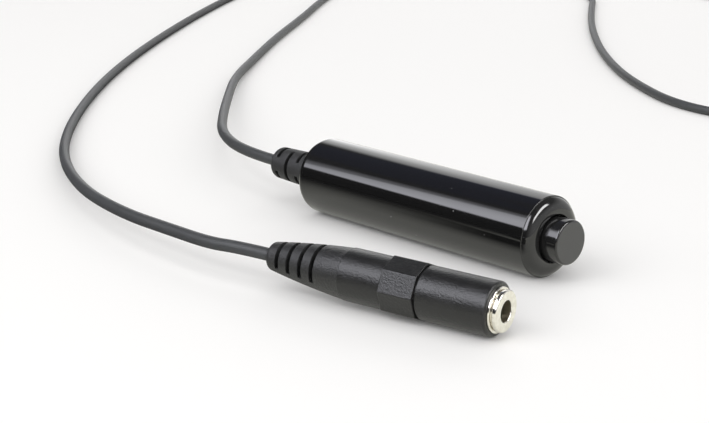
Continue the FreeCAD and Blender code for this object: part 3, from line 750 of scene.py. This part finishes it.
def grip_boot():
    """Tapered boot behind the handle, with three rows of slots."""
    boot = turned("grip_boot", (
        (BOOT_TAIL_X, 1.2),
        (BOOT_TAIL_X, BOOT_TAIL_RADIUS, 0.8),
        (TUBE_REAR_X, BOOT_ROOT_RADIUS),
        (TUBE_REAR_X, 2.6),
        (TUBE_WALL_X, 2.6),
        (TUBE_WALL_X, 3.5, 0.15),
        (-22.375, 3.5, 0.15),
        (-22.375, 1.2),
    ), sides=96)
    for row in range(HANDLE_SLOT_ROWS):
        place = TUBE_REAR_X - HANDLE_SLOT_FIRST - row * HANDLE_SLOT_PITCH
        roll = -(HANDLE_SLOT_ROLL + 90.0 * (row % 2))
        for tool in flat_slot(place, HANDLE_SLOT_WIDTH, HANDLE_SLOT_CORE, roll):
            carve(boot, tool)
    soften(boot, 0.09)
    return boot


# Socket


def socket_barrel():
    """Front shell: round barrel, shallow groove and eight-sided collar in one."""
    shell = turned("socket_barrel", (
        (-14.5, 4.25),
        (-12.9, 4.25),
        (-12.9, SOCKET_BARREL_RADIUS, 0.1),
        (0.0, SOCKET_BARREL_RADIUS, 0.45),
    ), sides=96, hollow=False)
    collar = turned(
        "collar", ((COLLAR_REAR_X, 5.06), (-13.25, 5.06)), sides=8, hollow=False
    )
    take(collar)
    bpy.ops.object.mode_set(mode="EDIT")
    bpy.ops.mesh.select_all(action="SELECT")
    bpy.ops.mesh.bevel(offset=0.14 * MM, segments=3, affect="EDGES")
    bpy.ops.object.mode_set(mode="OBJECT")
    carve(shell, collar, "UNION")
    carve(shell, turned("bore", ((-21.0, 3.35), (1.0, 3.35)), sides=96, hollow=False))
    carve(shell, turned("recess", ((-21.0, 3.75), (-15.75, 3.75)), sides=96, hollow=False))
    return shell


def socket_sleeve():
    """Rear shell behind the collar, with its spigot and the wall that holds the boot."""
    return turned("socket_sleeve", (
        (SOCKET_BOOT_ROOT_X, 2.25),
        (SOCKET_BOOT_ROOT_X, SOCKET_REAR_RADIUS, 0.1),
        (COLLAR_REAR_X, SOCKET_REAR_RADIUS, 0.15),
        (COLLAR_REAR_X, 3.7),
        (-15.8, 3.7),
        (-15.8, 3.0),
        (SLEEVE_WALL_X, 3.0),
        (SLEEVE_WALL_X, 2.25),
    ), sides=96)


def boot_outline():
    """Bulged taper of the socket's boot from its rounded tail to its root."""
    start = -43.6
    thin, thick, bulge = 2.55, 4.48, 0.76
    steps = 12
    stations = [(SOCKET_BOOT_TAIL_X, 1.2), (SOCKET_BOOT_TAIL_X, 2.44, 0.66)]
    for step in range(1, steps + 1):
        way = step / steps
        x = start + (SOCKET_BOOT_ROOT_X - start) * way
        radius = thin + (thick - thin) * way + bulge * way * (1 - way)
        stations.append((x, radius))
    return stations + [
        (SOCKET_BOOT_ROOT_X, 2.2),
        (SLEEVE_WALL_X, 2.2),
        (SLEEVE_WALL_X, 2.7),
        (-25.6, 2.7),
        (-25.6, 1.2),
    ]


def curved_slot(centre, width, core, web):
    """Ring sector over the top of the boot that leaves a web along its underside."""
    drop_selection()
    half = math.radians(180 - web / 2)
    middle = (core + SLOT_REACH) / 2
    bpy.ops.mesh.primitive_plane_add(
        size=MM, location=(centre * MM, 0, middle * MM), rotation=(math.pi / 2, 0, 0)
    )
    tool = bpy.context.object
    tool.scale = (width, SLOT_REACH - core, 1.0)
    fix_place(tool)
    settle(tool, turn=(math.degrees(half), 0.0, 0.0))
    bpy.ops.object.mode_set(mode="EDIT")
    bpy.ops.mesh.select_all(action="SELECT")
    bpy.ops.mesh.spin(steps=60, angle=2 * half, center=(0, 0, 0), axis=(1, 0, 0))
    bpy.ops.mesh.select_all(action="SELECT")
    bpy.ops.mesh.remove_doubles(threshold=MERGE * MM)
    bpy.ops.mesh.fill_holes(sides=4)
    bpy.ops.mesh.select_all(action="SELECT")
    bpy.ops.mesh.normals_make_consistent(inside=False)
    bpy.ops.object.mode_set(mode="OBJECT")
    return tool


def socket_boot():
    """Ribbed strain relief behind the socket."""
    boot = turned("socket_strain_boot", boot_outline(), sides=96)
    for row in range(SOCKET_SLOT_ROWS):
        centre = SOCKET_SLOT_FIRST - row * SOCKET_SLOT_PITCH
        carve(boot, curved_slot(centre, SOCKET_SLOT_WIDTH, SOCKET_SLOT_CORE, SOCKET_SLOT_WEB))
    soften(boot, 0.1)
    return boot


def jack_bush():
    """Nickel bush in the socket's mouth: base ring, neck and front disc."""
    return turned("jack_mouth_bush", (
        (-7.2, BORE_RADIUS),
        (-7.2, 3.3),
        (0.0, 3.3),
        (0.0, 3.85, 0.05),
        (0.45, 3.85, 0.15),
        (0.45, 3.2),
        (0.6, 3.2),
        (0.6, 3.52, 0.3),
        (BUSH_FACE_X, 3.52, 0.3),
        (BUSH_FACE_X, BORE_RADIUS, 0.22),
    ), sides=128)


HANDLE_PIECES = (
    (grip_tube, "handle_tube", "release", "gloss_black", "gloss_black"),
    (grip_ring, "front_bezel", "release", "gloss_black", "ring_black"),
    (thumb_button, "button_cap", "button", "button_black", "button_black"),
    (grip_boot, "handle_boot", "release", "boot_rubber", "boot_rubber"),
)
SOCKET_PIECES = (
    (socket_barrel, "socket_front_shell", "release", "satin_black", "satin_black"),
    (socket_sleeve, "socket_rear_shell", "release", "satin_black", "satin_black"),
    (socket_boot, "socket_boot", "release", "socket_rubber", "socket_rubber"),
    (jack_bush, "jack_bush", "release", "nickel", "nickel"),
)
for make, node, body, slot, finish in HANDLE_PIECES:
    piece = make()
    on_handle(piece)
    dress(piece, node, body, finish)
socket_looks = []
for make, node, body, slot, finish in SOCKET_PIECES:
    piece = make()
    on_socket(piece)
    dress(piece, node, body, finish)
    socket_looks.append(piece)
dress(release_cord, "cord", "release", "cord_jacket")


# Inner parts, which keep their own shapes

for subpart in frame["record"]["subparts"]:
    node = subpart["node"]
    inner = frame["nodes"][node]
    if not inner.hide_render:
        inner.data.materials.clear()
        inner.data.materials.append(FINISHES[subpart["material_slot"]])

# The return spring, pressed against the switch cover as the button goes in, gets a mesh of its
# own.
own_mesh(frame["nodes"]["return_spring"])

SOCKET_INSIDES = (
    "jack_insulator",
    "tip_contact",
    "tip_terminal",
    "sleeve_terminal",
    "socket_solder_tip",
    "socket_core_tip",
    "socket_solder_sleeve",
    "socket_core_sleeve",
    "socket_crimp",
    "socket_cord_end",
)
socket_looks + [frame["nodes"][node] for node in SOCKET_INSIDES]


# Floor and light

# Sizes in metres. Each panel has a name, azimuth, elevation, width, height and radiance.
FLOOR_SIZE = 12.0
PANEL_DISTANCE = 1.1
PANELS = (
    ("left_panel", -130.0, 38.0, 0.48, 0.8, 0.57),
    ("front_panel", -104.0, 38.0, 0.48, 0.8, 1.97),
    ("front_right_panel", -70.0, 35.0, 0.9, 0.8, 1.26),
    ("right_panel", -20.0, 20.0, 1.2, 0.76, 1.87),
    ("back_panel", 120.0, 20.0, 0.9, 0.76, 1.97),
    ("top_panel", 0.0, 90.0, 1.0, 1.0, 0.63),
)


def pale_floor():
    """Plain white floor that keeps the soft shadows under the object.

    In the gloss of the object it is painted with shade: darker towards the front left,
    where the room is dark, and in the gap between the handle and the socket.
    """
    finish = Finish("pale_floor")
    seen = finish.node("LightPath", out="Is Camera Ray")
    mirrored = finish.node("LightPath", out="Is Glossy Ray")
    east, north = finish.along("X"), finish.along("Y")
    # Painted shade in the floor's gloss: darker with distance towards the front left.
    away = east * -0.68 + north * -0.73
    near = finish.span(away, 26.0, 46.0, 1.0, 0.45) * finish.span(away, 46.0, 62.0, 1.0, 0.45)

    # Painted shade in the floor's gloss, in the gap between the handle and the socket.
    behind = finish.span(north, -12.0, -21.0) * finish.span(east, 36.0, 44.0, 1.0, 0.0)
    behind = behind * finish.span(north - east * 0.225, -44.0, -40.0)
    beside = finish.span(east - north * 0.9, -17.25, 34.75, 0.0, 0.97)
    near = near * finish.span(away, 62.0, 120.0, 1.0, 0.1) * (1 - behind * beside)
    # Painted shade: seen in the gloss, the floor is mixed towards black outside these masks.
    dark = mirrored * (1 - near)
    # Painted reflection colour: seen in the gloss, the floor is a shade olive.
    tint = finish.blend(mirrored, (0.91, 0.9, 0.892, 1.0), (0.9, 0.9, 0.82, 1.0))
    paper = finish.node("BsdfDiffuse", {}, {"Color": tint})
    glow = seen * 0.03 + mirrored * 0.15
    lift = finish.node("Emission", {}, {"Color": shade(1.0), "Strength": glow})
    bright = finish.node("AddShader", {}, {0: paper, 1: lift})
    black = finish.node("BsdfDiffuse", {}, {"Color": shade(0.0)})
    both = finish.node("MixShader", {}, {0: dark, 1: bright, 2: black})
    finish.node("OutputMaterial", {}, {"Surface": both})
    drop_selection()
    bpy.ops.mesh.primitive_plane_add(size=FLOOR_SIZE, location=(0, 0, 0))
    floor = bpy.context.object
    floor.name = "pale_floor"
    floor.data.materials.append(finish.material)


def surround():
    """White beyond the floor, an even room light, and soft boxes and a lamp for the gloss."""
    world = bpy.data.worlds.new("surround")
    bpy.context.scene.world = world
    world.cycles.sampling_method = "NONE"
    room = Finish("surround", world)
    way = room.node("TexCoord", out="Generated")
    east, north, up = (room.node("SeparateXYZ", {}, {0: way}, out=axis) for axis in range(3))
    azimuth = room.node("Math", {"operation": "ARCTAN2"}, {0: north, 1: east}) * DEGREES
    elevation = room.node("Math", {"operation": "ARCSINE"}, {0: up}) * DEGREES

    # Tall soft box in front: brighter to the right, with a sloping lower edge.
    front = room.span(azimuth, -149.0, -145.0, 0.0, 0.3)
    front = front + room.span(azimuth, -143.2, -142.0, 0.0, 0.7)
    low_edge = elevation - room.span(azimuth, -140.0, -127.0, -1.9, 0.7)
    front = front * room.span(low_edge, 18.1, 20.5)
    front = front * room.span(elevation, 54.0, 60.0, 1.0, 0.0)
    front = front * room.span(azimuth, -142.0, -135.0, 3.6, 5.2)
    front = front * room.span(azimuth, -64.0, -58.0, 1.0, 0.0)
    front = front * room.span(azimuth, -104.0, -92.0, 1.0, 1.5)

    # Low soft box behind, for the light band along the top of the tube.
    back = room.span(azimuth, 130.0, 137.0, 1.2, 2.0) * room.span(elevation, 20.0, 38.0, 1.0, 0.62)
    foot = room.span(azimuth, 133.0, 137.0, 0.0, 0.7) * room.span(elevation, 8.0, 18.0, 1.0, 0.0)
    back = (back + foot) * room.span(elevation, 37.8, 40.8, 1.0, 0.0)
    back = back * room.span(azimuth, 100.0, 106.0) * room.span(azimuth, 146.0, 154.0, 1.0, 0.0)

    # Curved lamp on the right, for the white crescents on the ring and the button.
    lean = azimuth - 22.0
    off_band = (elevation + lean * lean * 0.0072 - 53.0).magnitude()
    lamp = room.span(off_band, 5.0, 8.0, 15.0, 0.0) * room.span(azimuth, -30.0, -25.0)
    lamp = lamp * room.span(azimuth, 42.0, 48.0, 1.0, 0.0)

    # Dim walls, lighter higher up, and a pale side of the room low on the right.
    wall = room.span(elevation, 8.0, 30.0, 0.04, 0.13)
    side = room.span(azimuth, -60.0, -20.0) * room.span(azimuth, 100.0, 106.0, 1.0, 0.0)
    side = side * room.span(elevation, 20.0, 40.0, 0.8, 0.1)

    seen = room.node("LightPath", out="Is Camera Ray")
    mirrored = room.node("LightPath", out="Is Glossy Ray")
    plain = (1 - seen) * (1 - mirrored) * 0.45
    strength = seen + plain + mirrored * (front + back + lamp + wall + side)

    # The front is a shade lilac, and a strip above the box behind is blue.
    blue = room.span(azimuth, 110.0, 130.0) + room.span(azimuth, -160.0, -150.0, 1.0, 0.0)
    blue = blue * room.span(elevation, 38.0, 42.0) * room.span(elevation, 50.0, 54.0, 1.0, 0.0)
    lilac = room.span(azimuth, -60.0, -50.0, 1.0, 0.0)
    tint = room.blend(lilac * mirrored, shade(1.0), (0.97, 0.975, 1.05, 1.0))
    tint = room.blend(blue * mirrored, tint, (0.9, 0.97, 1.4, 1.0))
    light = room.node("Background", {}, {"Color": tint, "Strength": strength})
    room.node("OutputWorld", {}, {"Surface": light})


def panel(name, azimuth, elevation, width, height, radiance):
    """Soft light panel that faces the object and shows in no gloss."""
    lamp = bpy.data.lights.new(name, "AREA")
    lamp.shape = "RECTANGLE"
    lamp.size = width
    lamp.size_y = height
    lamp.energy = radiance * width * height * math.pi
    holder = bpy.data.objects.new(name, lamp)
    bpy.context.scene.collection.objects.link(holder)
    way = Vector((
        math.cos(math.radians(azimuth)) * math.cos(math.radians(elevation)),
        math.sin(math.radians(azimuth)) * math.cos(math.radians(elevation)),
        math.sin(math.radians(elevation)),
    ))
    holder.location = way * PANEL_DISTANCE
    holder.rotation_euler = way.to_track_quat("Z", "Y").to_euler()
    holder.visible_camera = False
    holder.visible_glossy = False


pale_floor()
surround()
for row in PANELS:
    panel(*row)

bpy.context.scene.view_settings.view_transform = "Standard"
